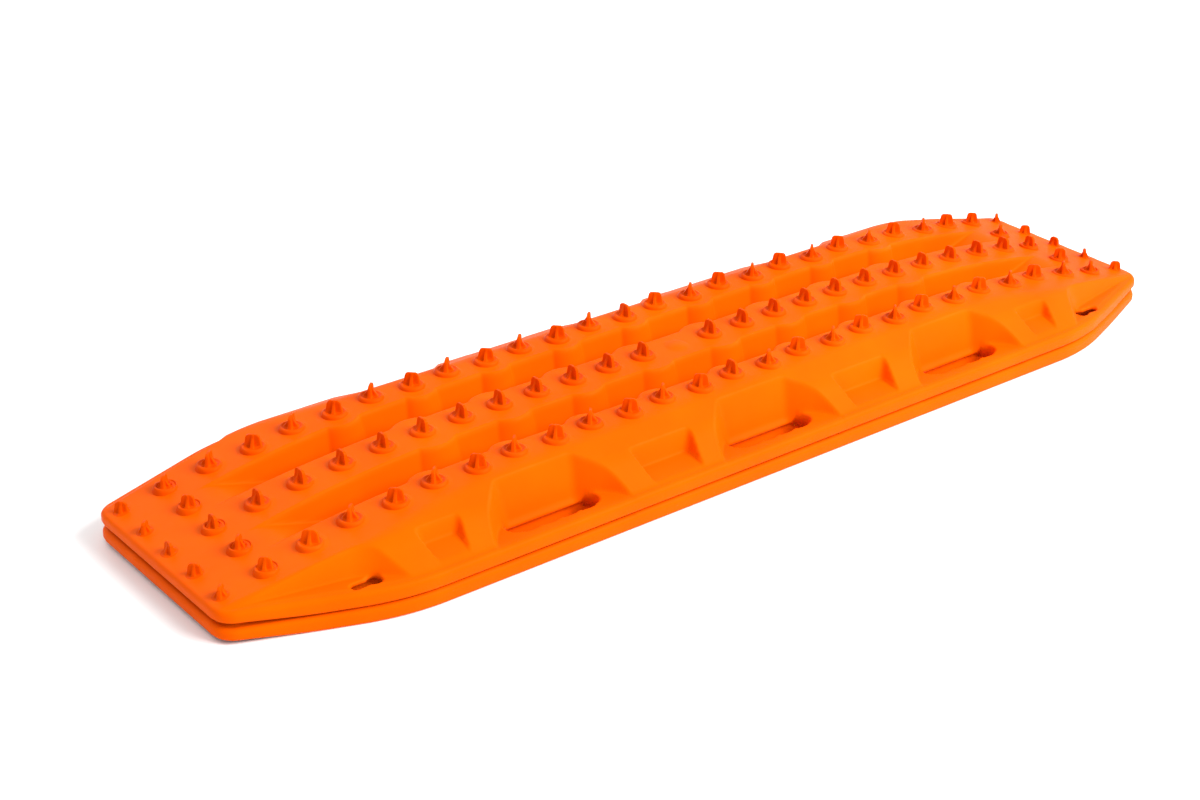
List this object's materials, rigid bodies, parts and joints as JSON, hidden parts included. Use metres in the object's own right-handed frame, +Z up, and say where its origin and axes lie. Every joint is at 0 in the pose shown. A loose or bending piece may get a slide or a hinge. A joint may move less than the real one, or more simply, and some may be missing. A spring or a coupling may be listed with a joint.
{
  "type": "tire traction mats",
  "caption": "Pair of long moulded traction boards with studded ridges, channels, side hand holes and corner keyholes, nested one on the other.",
  "frame": {"origin": "middle of the nested pair's footprint, on the ground", "axes": "+X along the boards, +Y across them, +Z up"},
  "size_m": [1.15, 0.33, 0.0831],
  "materials": {
    "deck": "satin moulded",
    "studs": "satin moulded"
  },
  "bodies": {
    "lower_board": {"lower_deck": "deck", "lower_far_ridge_studs_left": "studs", "lower_far_ridge_studs_right": "studs", "lower_left_end_inner_studs": "studs", "lower_left_end_outer_studs": "studs", "lower_middle_ridge_studs_left": "studs", "lower_middle_ridge_studs_right": "studs", "lower_near_ridge_studs_left": "studs", "lower_near_ridge_studs_right": "studs", "lower_ridge_studs_centre": "studs", "lower_right_end_inner_studs": "studs", "lower_right_end_outer_studs": "studs"},
    "upper_board": {"upper_deck": "deck", "upper_far_ridge_studs_left": "studs", "upper_far_ridge_studs_right": "studs", "upper_left_end_inner_studs": "studs", "upper_left_end_outer_studs": "studs", "upper_middle_ridge_studs_left": "studs", "upper_middle_ridge_studs_right": "studs", "upper_near_ridge_studs_left": "studs", "upper_near_ridge_studs_right": "studs", "upper_ridge_studs_centre": "studs", "upper_right_end_inner_studs": "studs", "upper_right_end_outer_studs": "studs"}
  },
  "joints": [
    {"name": "upper_board_lift", "type": "slide", "parent": "lower_board", "child": "upper_board", "axis": [0, 0, 1], "range_m": [0, 0.12]}
  ]
}
